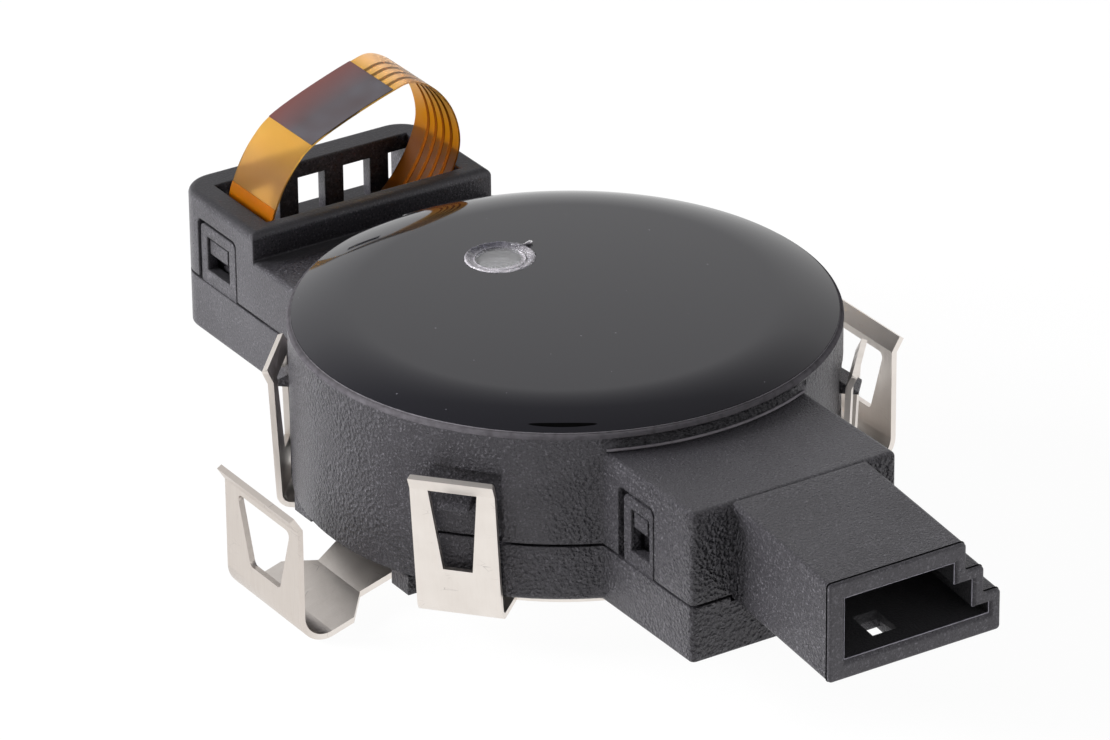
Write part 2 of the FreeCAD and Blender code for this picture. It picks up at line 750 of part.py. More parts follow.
def contact_pins():
    half = pin_w / 2
    pins = []
    for i, run in enumerate(pin_row(0)):
        leg = box(pin_leg_x - half, pin_leg_x + half, pin_y(i) - half, pin_y(i) + half,
                  board_z - pin_leg_below, pin_z + half)
        tip = edges_where(run, lambda b: b.XMin > pin_tip_x - 0.001)
        pins.append(run.makeChamfer(half * pin_taper, tip).fuse(leg).removeSplitter())
    return Part.makeCompound(pins)


def pin_carrier():
    block = box(carrier_x, carrier_x + carrier_l, pin_mid_y - carrier_half_w, pin_mid_y + carrier_half_w,
                board_top, board_top + carrier_h)
    legs = [cylinder(pin_w, board_top, pin_z, pin_leg_x, pin_y(i)) for i in range(pin_count)]
    return block.cut(pin_row(0) + legs)


def ribbon_edges(points, start_way, end_way):
    curve = Part.BSplineCurve()
    curve.interpolate(Points=points, InitialTangent=start_way, FinalTangent=end_way)
    return curve


def foil_side(offset):
    """One face line of the foil's loop, moved down or inwards by offset."""
    low = V(0, *foil_patch_low)
    high = V(0, *foil_patch_high)
    way = (high - low).normalize()
    foot = [V(0, y, z) for y, z in foil_foot] + [low]
    bow = [high] + [V(0, y, z) for y, z in foil_bow + foil_return]
    end = V(0, foil_flat_y, foil_floor_z)
    foot_curve = ribbon_edges(foot, V(0, 0, 1), way)
    bow_curve = ribbon_edges(bow + [end], way, V(0, -1, 0))

    def shifted(curve, points):
        moved = []
        for point in points:
            ahead = curve.tangent(curve.parameter(point))[0]
            moved.append(point + V(0, ahead.z, -ahead.y) * offset)
        return moved

    left = ribbon_edges(shifted(foot_curve, foot), V(0, 0, 1), way)
    right = ribbon_edges(shifted(bow_curve, bow + [end]), way, V(0, -1, 0))
    flat = V(0, foil_end_y, right.EndPoint.z)
    return [left.toShape(), Part.LineSegment(left.EndPoint, right.StartPoint).toShape(), right.toShape(),
            Part.LineSegment(right.EndPoint, flat).toShape()]


def flex_foil():
    """The looped sensor foil, and its tail through the slit to the board's socket."""
    outer = foil_side(0.0)
    inner = foil_side(foil_t)
    ends = [Part.LineSegment(outer[i].Vertexes[j].Point, inner[i].Vertexes[j].Point).toShape()
            for i, j in ((0, 0), (-1, 1))]
    outline = Part.Wire(Part.__sortEdges__(outer + inner + ends))
    loop = Part.Face(outline).extrude(V(foil_x_high - foil_x_low, 0, 0))
    loop.translate(V(foil_x_low, 0, 0))
    tail = box(foil_x_high, foil_x_high + foil_tail_l, foil_end_y, foil_flat_y,
               foil_floor_z, foil_floor_z + foil_t)
    return loop.fuse(tail).removeSplitter()


def on_patch(shape):
    """Moves a shape drawn flat, with its top at z 0, to the underside of the patch."""
    dy = foil_patch_high[0] - foil_patch_low[0]
    dz = foil_patch_high[1] - foil_patch_low[1]
    slope = math.atan2(dz, dy)
    shape.rotate(V(0, 0, 0), V(1, 0, 0), math.degrees(slope))
    shape.translate(V((foil_x_low + foil_x_high) / 2,
                      foil_patch_low[0] + dy / 2 + foil_t * math.sin(slope),
                      foil_patch_low[1] + dz / 2 - foil_t * math.cos(slope)))
    return shape


def foil_stiffener():
    rise = foil_patch_high[1] - foil_patch_low[1]
    half_l = math.hypot(foil_patch_high[0] - foil_patch_low[0], rise) / 2
    half_w = (foil_x_high - foil_x_low) / 2 - stiffener_inset
    return on_patch(box(-half_w, half_w, -half_l, half_l, -stiffener_t, 0))


def humidity_sensor():
    length, width, height = humidity_chip
    top = -stiffener_t
    return on_patch(box(-length / 2, length / 2, -width / 2, width / 2, top - height, top))


def foil_socket():
    length, width, height = foil_socket_size
    x0 = foil_x_high + foil_tail_l - length
    y_mid = (foil_end_y + foil_flat_y) / 2
    block = box(x0, x0 + length, y_mid - width / 2, y_mid + width / 2, board_top, board_top + height)
    return block.cut(flex_foil())


def side_arms():
    arm = spring_arm()
    return {"spring_arm_right": arm, "spring_arm_left": mirror_y(arm)}


def all_parts():
    parts = {
        "upper_housing": upper_housing(),
        "lower_housing": lower_housing(),
        "lens_plate": lens_plate(),
        "coupling_pad": coupling_pad(),
        "light_window": light_window(),
        "light_pipe": light_pipe(),
        "retaining_spring": retaining_spring(),
        "circuit_board": circuit_board(),
        "infrared_emitters": infrared_emitters(),
        "infrared_receivers": infrared_receivers(),
        "ambient_light_sensor": chip(light_sensor_size, (window_x, window_y), board_top),
        "controller_chip": controller_chip(),
        "bus_transceiver": chip(transceiver_size, transceiver_at, board_top),
        "capacitors": Part.makeCompound([chip(capacitor_size, at, board_top) for at in capacitor_at]),
        "filter_coil": chip(coil_size, coil_at, board_top),
        "crystal": chip(crystal_size, crystal_at, board_top),
        "contact_pins": contact_pins(),
        "pin_carrier": pin_carrier(),
        "flex_foil": flex_foil(),
        "foil_stiffener": foil_stiffener(),
        "humidity_sensor": humidity_sensor(),
        "foil_socket": foil_socket(),
    }
    parts.update(side_arms())
    return parts


os.makedirs("parts", exist_ok=True)
for name, shape in all_parts().items():
    shape.exportStep("parts/" + name + ".step")
    print(name, round(shape.Volume, 2), len(shape.Solids), shape.isValid())
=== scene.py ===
import math

import bmesh
import bpy
from mathutils import Matrix, Vector, noise


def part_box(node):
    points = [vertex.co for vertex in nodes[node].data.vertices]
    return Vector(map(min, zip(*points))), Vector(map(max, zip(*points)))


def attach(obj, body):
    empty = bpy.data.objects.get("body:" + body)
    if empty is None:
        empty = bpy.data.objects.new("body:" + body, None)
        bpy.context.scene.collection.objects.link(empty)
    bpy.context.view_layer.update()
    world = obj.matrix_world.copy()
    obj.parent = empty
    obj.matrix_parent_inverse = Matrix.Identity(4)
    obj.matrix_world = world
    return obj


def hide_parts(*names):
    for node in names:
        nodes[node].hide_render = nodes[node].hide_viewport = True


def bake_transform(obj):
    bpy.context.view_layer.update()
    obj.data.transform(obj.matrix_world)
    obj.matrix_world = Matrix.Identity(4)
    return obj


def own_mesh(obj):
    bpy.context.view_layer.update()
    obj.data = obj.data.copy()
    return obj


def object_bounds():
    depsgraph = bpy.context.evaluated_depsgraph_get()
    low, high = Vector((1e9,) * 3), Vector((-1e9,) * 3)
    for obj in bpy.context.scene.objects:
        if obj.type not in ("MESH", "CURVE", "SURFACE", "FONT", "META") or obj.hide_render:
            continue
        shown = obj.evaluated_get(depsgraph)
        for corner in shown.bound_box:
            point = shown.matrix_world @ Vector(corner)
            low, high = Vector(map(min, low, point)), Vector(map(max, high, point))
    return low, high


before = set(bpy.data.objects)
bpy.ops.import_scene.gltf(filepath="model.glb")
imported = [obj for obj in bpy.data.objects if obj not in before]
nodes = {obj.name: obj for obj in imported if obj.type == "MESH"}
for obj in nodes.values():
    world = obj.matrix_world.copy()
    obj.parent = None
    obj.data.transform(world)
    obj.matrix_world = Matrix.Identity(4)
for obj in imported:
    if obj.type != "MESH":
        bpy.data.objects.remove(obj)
cad_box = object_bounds()

# Lengths below are in millimetres, and mm turns them into the frame's metres
mm = 0.001

# Camera, from the photograph
image_width_px = 1110
focal_px = 7324
sensor_w = 36.0
camera_at = (458.08, -291.75, 281.81)
camera_azimuth = -0.56547
camera_elevation = 0.46494
camera_roll = -0.01056
clip_near = 10
clip_far = 100000

# Meshes: gaps that are welded shut or counted as none, edge radii, and angles that count as sharp
weld_gap = 0.002
stamping_weld_gap = 0.003
meeting_slack = 0.001
housing_edge_r = 0.12
spring_edge_r = 0.1
pin_edge_r = 0.03
bevel_angle = 35
crease_angle = 50
pad_crease_angle = 40

# Pad: its size from the frame, and its domed profile
pad_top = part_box("coupling_pad")[1]
pad_r = pad_top.x / mm
pad_crown_z = pad_top.z / mm
pad_shoulder_r = 17.5
pad_shoulder_z = 16.3
pad_shoulder_rise = 0.24
pad_edge_z = 15.15
pad_foot_z = 15.0
pad_turns = 256
pad_rings = 90

# Sliver of shadow at the pad's front edge, between two angles in degrees about the part's axis
shadow_from = -40.5
shadow_to = -26.0
shadow_r = 21.9
shadow_half_w = 0.2
shadow_tip_half_w = 0.01
shadow_lift = 0.02
shadow_steps = 24

# Lines on the housing's edges, with painted highlights: the mouth's dark line and pale highlight lie back
# from its face, and the collar's turn about the axis
mouth_line_back = 0.4
mouth_line_r = 0.07
mouth_highlight_back = 0.31
mouth_highlight_r = 0.05
mouth_tube_sides = 6
rim_r = 23.0
rim_z = 15.0
band_profile = [(-0.31, -0.04), (-0.31, 0.03), (-0.14, 0.01), (-0.03, -0.09), (0.03, -0.24),
                (0.04, -0.37), (-0.04, -0.37)]
fringe_out = 0.02
fringe_z = 15.07
fringe_line_r = 0.05
lip_r = 23.08
lip_z = 13.6
lip_line_r = 0.12
lip_turn = 24.5
line_sides = 8
line_steps_per_degree = 0.7
fewest_line_steps = 24

# Clear window in the pad: its profile from its outer radius, from its inner radius, and across its dish
window_low, window_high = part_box("light_window")
window_at = (window_low + window_high) / 2 / mm
window_r = (window_high.x - window_low.x) / 2 / mm
window_gap = 0.02
window_turns = 160
window_inner_r = 2.15
window_lip_h = 0.09
window_dish = 0.22
window_foot = -1.0
window_rim = [(0.0, window_foot), (0.0, 0.0), (-0.06, window_lip_h * 0.8), (-0.16, window_lip_h),
              (-0.3, window_lip_h * 0.4), (-0.5, -0.04)]
window_step = [(0.12, -0.12), (0.05, -0.1), (0.0, -0.06), (-0.06, -0.13), (-0.2, -window_dish)]
window_dish_radii = (1.85, 1.74, 1.62, 1.5, 1.4, 0.7, 0.05)
ring_overlap = 0.1
ring_fade = 0.3
crinkle_h = 0.07
crinkle_push = 0.05
crinkle_pitch = 2.4
crinkle_roughness = 0.6
crinkle_step = 2.1
crinkle_octaves = 3
push_pitch = 3.1
push_seed = Vector((7, 3, 1))
crescent_off = 0.5
crescent_r = 2.02

# Whisker of silicone at the window's edge: points from the window's middle, with the radius at each
burr_path = [(-1.35, 1.97, 0.04), (-1.1, 2.35, 0.045), (-0.85, 2.73, 0.05), (-0.8, 3.0, 0.09),
             (-0.83, 3.25, 0.17), (-0.85, 3.5, 0.19), (-0.83, 3.72, 0.1)]
burr_h = 0.13
burr_sides = 10

# Flex foil: Y and Z along its outer face, from the socket over the bow and back to the floor
foil_x = (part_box("flex_foil")[0].x / mm, -32.5)
foil_t = 0.16
foil_steps = 10
foil_across = 4
foil_foot = [(-9.3, 8.1), (-9.3, 10.6), (-8.75, 13.0), (-7.7, 15.4), (-6.45, 17.15)]
foil_patch = [(-4.8, 18.6), (3.43, 21.75)]
foil_bow = [(5.2, 22.08), (7.0, 21.3), (8.65, 19.65), (9.75, 17.5), (10.1, 15.0),
            (9.35, 12.6), (8.15, 10.6), (6.9, 9.1), (5.6, 8.05), (3.2, 7.6)]
trace_x = (2.2, 3.45, 4.7, 5.95)
trace_w = 0.42
trace_t = 0.03
tape_top_z = 13.6
cover_t = 0.06
patch_slack = 0.01

# Retaining spring: how far from the middle its strips are parted from the ring
strip_cut_y = 20.6

# Stage: lamps by name, place, width and power, which face a point on the part's axis, floor and sky
lamp_aim = (0, 0, 8)
lamps = [("key", (-280, -400, 200), 240, 8.0), ("fill", (380, 200, 120), 240, 0.7),
         ("top", (-120, -60, 480), 300, 0.35)]
floor_reach = 3000
floor_grey = (0.92, 0.92, 0.92, 1)
floor_glow = 0.96
sky_light = (0.22, 0.22, 0.225)
sky_white_to = 0.5
sky_dim_from = 0.78
sky_dim = (0.45, 0.45, 0.46, 1)


# Meshes

def link(name, data):
    """An object in the scene, for a mesh, a lamp or a camera."""
    made = bpy.data.objects.new(name, data)
    bpy.context.scene.collection.objects.link(made)
    return made


def piece(name, verts, faces, materials, body):
    """A smooth mesh from points in millimetres, which rides on one body."""
    mesh = bpy.data.meshes.new(name)
    mesh.from_pydata([Vector(v) * mm for v in verts], [], faces)
    mesh.validate()
    made = link(name, mesh)
    for material in materials:
        mesh.materials.append(material)
    mesh.shade_smooth()
    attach(made, body)
    return made


def around(count):
    """Angles of count points that go once round."""
    return [2 * math.pi * i / count for i in range(count)]


def tube_row(middle, out, up, radius, sides):
    """Points round a tube's middle, in the plane of two directions."""
    return [middle + (out * math.cos(a) + up * math.sin(a)) * radius for a in around(sides)]


def skin(rows, close=False):
    """Points and faces over rows of points that each go round; close joins the last row to the first.

    Rows that aren't closed are capped at both ends.
    """
    verts = []
    numbered = []
    for row in rows:
        numbered.append(list(range(len(verts), len(verts) + len(row))))
        verts.extend(row)
    pairs = list(zip(numbered, numbered[1:]))
    if close:
        pairs.append((numbered[-1], numbered[0]))
    faces = []
    for low, high in pairs:
        for i in range(len(low)):
            j = (i + 1) % len(low)
            faces.append((low[i], low[j], high[j], high[i]))
    if not close:
        faces.append(tuple(numbered[-1]))
        faces.append(tuple(reversed(numbered[0])))
    return verts, faces


def sharpen(made, degrees=crease_angle):
    """Marks edges sharper than an angle, so that smooth shading stops there."""
    shape = bmesh.new()
    shape.from_mesh(made.data)
    bmesh.ops.recalc_face_normals(shape, faces=shape.faces)
    limit = math.radians(degrees)
    for edge in shape.edges:
        edge.smooth = not (len(edge.link_faces) == 2 and edge.calc_face_angle() > limit)
    shape.to_mesh(made.data)
    shape.free()


def soften(made, radius):
    """Welds a mesh and rounds its edges."""
    weld = made.modifiers.new("weld", "WELD")
    weld.merge_threshold = weld_gap * mm
    bevel = made.modifiers.new("edges", "BEVEL")
    bevel.width = radius * mm
    bevel.segments = 2
    bevel.limit_method = "ANGLE"
    bevel.angle_limit = math.radians(bevel_angle)
    bevel.harden_normals = False
    bevel.miter_outer = "MITER_ARC"


def cut_edges(shape, at, facing, **cleared):
    """Cuts a mesh by a plane, and returns the edges that lie in it."""
    geom = shape.verts[:] + shape.edges[:] + shape.faces[:]
    cut = bmesh.ops.bisect_plane(shape, geom=geom, plane_co=at, plane_no=facing, **cleared)
    return [g for g in cut["geom_cut"] if isinstance(g, bmesh.types.BMEdge)]


# Shader nodes

class Nodes:
    """Short calls that add nodes to a tree. A value is a number, a colour or another node's output."""

    def __init__(self, tree):
        self.tree = tree

    def give(self, value, socket):
        """Links an output to a socket, or sets the socket to a plain value."""
        if isinstance(value, bpy.types.NodeSocket):
            self.tree.links.new(value, socket)
        else:
            socket.default_value = value

    def add(self, kind, **inputs):
        made = self.tree.nodes.new(kind)
        for key, value in inputs.items():
            self.give(value, made.inputs[key.replace("_", " ")])
        return made

    def maths(self, operation, a, b=0.0):
        made = self.add("ShaderNodeMath")
        made.operation = operation
        self.give(a, made.inputs[0])
        self.give(b, made.inputs[1])
        return made.outputs[0]

    def times(self, a, b):
        return self.maths("MULTIPLY", a, b)

    def most(self, first, *others):
        """The largest of several values."""
        for other in others:
            first = self.maths("MAXIMUM", first, other)
        return first

    def mix_colour(self, fac, a, b):
        made = self.tree.nodes.new("ShaderNodeMix")
        made.data_type = "RGBA"
        self.give(fac, made.inputs["Factor"])
        for value, socket in ((a, made.inputs[6]), (b, made.inputs[7])):
            self.give((*value, 1.0) if isinstance(value, tuple) else value, socket)
        return made.outputs[2]

    def mix_shader(self, fac, a, b):
        made = self.tree.nodes.new("ShaderNodeMixShader")
        for value, socket in zip((fac, a, b), made.inputs):
            self.give(value, socket)
        return made.outputs[0]


class Look(Nodes):
    """One material, with its main shader and patterns that lie in the row frame."""

    def __init__(self, name, colour, roughness, **inputs):
        self.material = bpy.data.materials.new(name)
        self.material.use_nodes = True
        super().__init__(self.material.node_tree)
        self.shader = self.tree.nodes["Principled BSDF"]
        for key, value in {"Base Color": colour, "Roughness": roughness, **inputs}.items():
            socket = self.shader.inputs[key.replace("_", " ")]
            socket.default_value = (*value, 1.0) if socket.type == "RGBA" else value

    def wire(self, output, socket):
        self.tree.links.new(output, self.shader.inputs[socket])

    def place(self, stretch=(1, 1, 1)):
        """The point on the surface, in the row frame."""
        coords = self.add("ShaderNodeTexCoord")
        mapping = self.add("ShaderNodeMapping", Vector=coords.outputs["Object"], Scale=stretch)
        return mapping.outputs[0]

    def noise(self, size, detail=2.0, stretch=(1, 1, 1), rough=0.5):
        """Noise whose lumps are about size millimetres."""
        made = self.add("ShaderNodeTexNoise", Vector=self.place(stretch), Scale=1 / (size * mm),
                        Detail=detail, Roughness=rough)
        return made.outputs["Fac"]

    def cells(self, size, stretch=(1, 1, 1), feature="F1"):
        """Cells about size millimetres wide."""
        made = self.add("ShaderNodeTexVoronoi", Vector=self.place(stretch), Scale=1 / (size * mm))
        made.feature = feature
        return made.outputs["Distance"]

    def ramp(self, value, low, high, start=0.3, end=0.7):
        """Goes from low to high while value goes from start to end, and stays there."""
        made = self.add("ShaderNodeMapRange", Value=value, From_Min=start, From_Max=end,
                        To_Min=low, To_Max=high)
        return made.outputs[0]

    def beyond(self, axis, start, end):
        """Rises from 0 to 1 where the surface passes from start to end millimetres along an axis."""
        split = self.add("ShaderNodeSeparateXYZ", Vector=self.place())
        return self.ramp(split.outputs[axis], 0.0, 1.0, start * mm, end * mm)

    def between(self, axis, start, end, soft):
        """1 from start to end millimetres along an axis, and 0 past soft on either side."""
        begun = self.beyond(axis, start - soft, start)
        return self.maths("SUBTRACT", begun, self.beyond(axis, end, end + soft))

    def facing(self):
        """How far the surface looks up, from -1 to 1."""
        normal = self.add("ShaderNodeNewGeometry").outputs["Normal"]
        return self.add("ShaderNodeSeparateXYZ", Vector=normal).outputs["Z"]

    def bump(self, height, depth, strength=1.0, under=None):
        """Relief of depth millimetres, laid over the relief under it."""
        made = self.add("ShaderNodeBump", Height=height, Distance=depth * mm, Strength=strength)
        if under is not None:
            self.tree.links.new(under, made.inputs["Normal"])
        return made.outputs[0]


# Materials; a pair of lengths is a fade's start and end, or an extent where a soft border is named too

cool = (0.97, 0.94, 1.0)
silicone_ior = 1.41
film_ior = 1.12
soft_edge_r = 0.3

# Housing: painted shade in the groove under the collar, in the channels of the stepped bore and on the
# deck's top, and plainer ends
groove_x = (20.9, 21.3)
groove_z = (13.7, 14.62)
groove_soft = 0.06
groove_shade_share = 0.7
bore_x = (34.0, 46.8)
bore_channels = [((-4.8, 6.4), (4.6, 11.0)), ((6.4, 8.1), (4.6, 8.7)), ((8.1, 9.7), (4.6, 6.3))]
bore_soft = 0.1
tail_top_x = (-28.5, -29.5)
tail_plain_x = (-22.0, -24.0)
mouth_plain_x = (46.7, 46.9)
block_end_x = (31.0, 33.0)
block_end_past_x = (34.5, 36.0)


def housing_look():
    """Spark-eroded plastic: fine grain, coarser wrinkles on upright faces, plainer at both ends, and painted
    shade in the groove, the bore's channels and on the deck's top.
    """
    look = Look("housing_grain", (0.02, 0.019, 0.021), 0.4, Specular_IOR_Level=0.55, Specular_Tint=cool)
    fine = look.noise(0.2, 2.0, rough=0.7)
    wrinkles = look.cells(0.34)
    creases = look.noise(0.3, 2.0, rough=0.6)
    patches = look.noise(7.0, 2.0)

    groove = look.times(look.beyond("X", *groove_x), look.between("Z", *groove_z, groove_soft))
    tail_top = look.times(look.beyond("X", *tail_top_x), look.ramp(look.facing(), 0.0, 0.75, 0.2, 0.8))
    channels = [look.times(look.between("Y", *y, bore_soft), look.between("Z", *z, bore_soft))
                for y, z in bore_channels]
    bore = look.times(look.most(*channels), look.between("X", *bore_x, bore_soft))
    # painted shade: the groove under the collar, the bore's channels and the deck's top are darkened where
    # shade falls
    painted_shade = look.most(look.times(groove, groove_shade_share), bore, tail_top)

    tone = look.mix_colour(look.ramp(patches, 0.0, 1.0), (0.018, 0.017, 0.02), (0.03, 0.029, 0.033))
    tone = look.mix_colour(look.ramp(fine, 0.0, 1.0, 0.55, 0.75), tone, (0.12, 0.116, 0.128))
    look.wire(look.mix_colour(painted_shade, tone, (0.01, 0.01, 0.011)), "Base Color")
    look.wire(look.most(look.ramp(fine, 0.24, 0.46), look.times(painted_shade, 0.8)), "Roughness")

    level = look.maths("ABSOLUTE", look.facing())
    block_end = look.maths("SUBTRACT", look.beyond("X", *block_end_x), look.beyond("X", *block_end_past_x))
    region = look.most(look.ramp(patches, 0.12, 0.8, 0.42, 0.6), block_end)
    coarse = look.times(look.ramp(level, 1.0, 0.15, 0.5, 0.9), region)
    plain = look.most(look.beyond("X", *tail_plain_x), look.beyond("X", *mouth_plain_x))
    coarse = look.most(look.maths("SUBTRACT", coarse, plain), groove)
    rounded = look.add("ShaderNodeBevel", Radius=soft_edge_r * mm).outputs[0]
    relief = look.bump(look.maths("ADD", wrinkles, creases), 0.32, coarse, rounded)
    look.wire(look.bump(fine, 0.14, look.ramp(plain, 1.0, 0.4, 0.0, 1.0), relief), "Normal")
    return look.material


def pad_look():
    """Clear glossy silicone over black, with a few specks of dust."""
    silicone = (0.004, 0.004, 0.006)
    look = Look("pad_silicone", silicone, 0.07, IOR=silicone_ior, Specular_Tint=cool)
    look.wire(look.ramp(look.noise(6.0), 0.05, 0.1), "Roughness")
    dust = look.ramp(look.cells(2.6), 1.0, 0.0, 0.02, 0.035)
    look.wire(look.mix_colour(dust, silicone, (0.09, 0.088, 0.1)), "Base Color")
    return look.material


def window_look():
    """Clear silicone or plastic, a little uneven."""
    look = Look("window_clear", (0.93, 0.93, 0.95), 0.06, IOR=silicone_ior, Transmission_Weight=0.9)
    look.wire(look.bump(look.noise(0.5, 2.0), 0.02, 0.4), "Normal")
    return look.material


# Ring round the window, painted lighter and darker by side: from clear to whitened along X, and from pale to
# greyer along Y
lit_side_x = (window_at.x - 2.5, window_at.x - 0.9)
shaded_side_y = (window_at.y - 1.5, window_at.y + 1.5)


def frosted_look():
    """The ring round the window: clear in places, whitened in random patches, and painted lighter or darker
    by side along X and Y.
    """
    look = Look("window_frosted", (0.8, 0.78, 0.84), 0.28, IOR=silicone_ior, Transmission_Weight=0.6)
    crinkle = look.noise(0.5, 3.0, rough=0.6)
    # painted light: whitening in random patches, brought in along X on the lit side
    whitening_and_side_light = look.times(look.ramp(look.noise(1.9, 2.0), 0.6, 1.0, 0.4, 0.62), look.beyond("X", *lit_side_x))
    # painted light and shade: the whitened colour is pale towards low Y and greyer towards high Y
    white = look.mix_colour(look.beyond("Y", *shaded_side_y), (0.85, 0.81, 0.87), (0.42, 0.4, 0.43))
    look.wire(look.mix_colour(whitening_and_side_light, (0.13, 0.125, 0.16), white), "Base Color")
    look.wire(look.bump(crinkle, 0.08, 0.9), "Normal")
    look.wire(look.ramp(crinkle, 0.1, 0.4), "Roughness")
    return look.material


# Spring: painted shade makes the near arm's leg darker than the rest
shaded_leg_y = (-27.5, -29.0)


def steel_look():
    """Rolled stainless sheet with a faint grain, a few dark hairlines, and painted shade on the near arm's
    leg.
    """
    look = Look("spring_sheet", (0.84, 0.79, 0.74), 0.4, Metallic=1.0)
    rolled = look.noise(0.12, 2.0, stretch=(1, 0.06, 0.06))
    patches = look.noise(3.0, 3.0)
    sheet = look.mix_colour(look.ramp(patches, 0.0, 1.0), (0.8, 0.745, 0.695), (0.86, 0.805, 0.755))
    borders = look.cells(2.2, stretch=(1, 1, 3.0), feature="DISTANCE_TO_EDGE")
    hairlines = look.ramp(borders, 1.0, 0.0, 0.004, 0.012)
    worn = look.times(hairlines, look.ramp(look.noise(1.8, 1.0), 0.0, 0.45, 0.58, 0.68))
    # painted shade: the near arm's leg is darker than the rest of the sheet
    leg_shaded_sheet = look.mix_colour(look.beyond("Y", *shaded_leg_y), sheet, (0.7, 0.64, 0.59))
    look.wire(look.mix_colour(worn, leg_shaded_sheet, (0.3, 0.27, 0.26)), "Base Color")
    look.wire(look.ramp(rolled, 0.34, 0.5), "Roughness")
    look.wire(look.bump(look.noise(0.25, 3.0), 0.02, 0.4), "Normal")
    return look.material


# Foil: painted shade low down, a painted sheen over the bow, and painted shade, orange and then brown, where
# it returns into the chamber
low_shade_z = (17.5, 15.5)
bow_sheen_z = (19.8, 21.3)
bow_sheen_y = (3.4, 5.0)
return_shade_z = (20.0, 16.0)
return_shade_y = (4.0, 7.0)
return_deeper_shade_z = (16.0, 13.0)
cover_red_x = (-35.6, -39.2)


def film_look():
    """Amber film, hazy, with painted shade low down and where it turns down into the chamber, and a painted
    sheen over the bow.
    """
    look = Look("foil_film", (0.58, 0.33, 0.07), 0.3, IOR=film_ior, Transmission_Weight=0.86)
    patches = look.noise(4.0, 1.0)
    film = look.mix_colour(look.ramp(patches, 0.0, 1.0), (0.56, 0.31, 0.06), (0.61, 0.35, 0.075))
    # painted shade: the film is darker low down
    film = look.mix_colour(look.beyond("Z", *low_shade_z), film, (0.47, 0.25, 0.06))
    # painted sheen: the film is paler over the bow
    bow = look.times(look.beyond("Z", *bow_sheen_z), look.beyond("Y", *bow_sheen_y))
    film = look.mix_colour(bow, film, (0.84, 0.52, 0.26))
    # painted shade: orange and then brown where the film returns into the chamber
    turned = look.mix_colour(look.beyond("Z", *return_deeper_shade_z), (0.44, 0.17, 0.004), (0.24, 0.07, 0.002))
    returning = look.times(look.beyond("Z", *return_shade_z), look.beyond("Y", *return_shade_y))
    look.wire(look.mix_colour(returning, film, turned), "Base Color")
    return look.material


def tape_look():
    """Deeper amber tape over the foil's foot."""
    look = Look("foil_tape", (0.46, 0.15, 0.002), 0.3, IOR=film_ior, Transmission_Weight=0.75)
    look.wire(look.mix_colour(look.noise(2.0), (0.4, 0.12, 0.001), (0.54, 0.19, 0.003)), "Base Color")
    return look.material


def copper_look():
    """Copper traces, seen dark through the film."""
    look = Look("foil_copper", (0.09, 0.024, 0.002), 0.7, Specular_IOR_Level=0.0)
    look.wire(look.mix_colour(look.noise(1.0), (0.07, 0.018, 0.001), (0.11, 0.03, 0.003)), "Base Color")
    return look.material


def cover_look():
    """The dark patch on the foil, redder towards the chamber's end."""
    look = Look("foil_cover", (0.05, 0.035, 0.038), 0.3)
    patches = look.ramp(look.noise(3.0, 1.0), 0.0, 1.0)
    grey = look.mix_colour(patches, (0.033, 0.023, 0.026), (0.042, 0.038, 0.045))
    look.wire(look.mix_colour(look.beyond("X", *cover_red_x), grey, (0.075, 0.022, 0.02)), "Base Color")
    look.wire(look.bump(look.noise(0.2), 0.01, 0.3), "Normal")
    return look.material


# Lines: from the chamber's side to the connector's, they go from a share of their colour to all of it, the
# smaller share being painted shade on the chamber's side
line_shade_x = (-5.0, 12.0)


def line_look(name, colour, tail_share=1.0):
    """A matte line, uneven along its length, with tail_share of its colour on the chamber's side as painted
    shade there.
    """
    look = Look(name, colour, 0.6, Specular_IOR_Level=0.0)
    share = look.ramp(look.beyond("X", *line_shade_x), tail_share, 1.0, 0.0, 1.0)
    uneven = look.ramp(look.noise(0.6, 3.0), 0.4, 1.5, 0.0, 1.0)
    look.wire(look.mix_colour(look.times(uneven, share), (0.0, 0.0, 0.0), colour), "Base Color")
    return look.material


# Hidden parts: how far their colour goes to either side
plain_spread = 0.15


def plain_look(name, colour, roughness, **inputs):
    """A colour that varies a little, and a fine relief."""
    look = Look(name, colour, roughness, **inputs)
    low = tuple(c * (1 - plain_spread) for c in colour)
    high = tuple(min(c * (1 + plain_spread), 1.0) for c in colour)
    look.wire(look.mix_colour(look.noise(1.2, 3.0), low, high), "Base Color")
    look.wire(look.bump(look.noise(0.15), 0.01, 0.4), "Normal")
    return look.material


# CAD nodes that stay

def dress(name, material, edge_r=None):
    """Gives a CAD node its material, and rounds its edges where a radius is given."""
    made = nodes[name]
    made.data.materials.clear()
    made.data.materials.append(material)
    if edge_r:
        soften(made, edge_r)


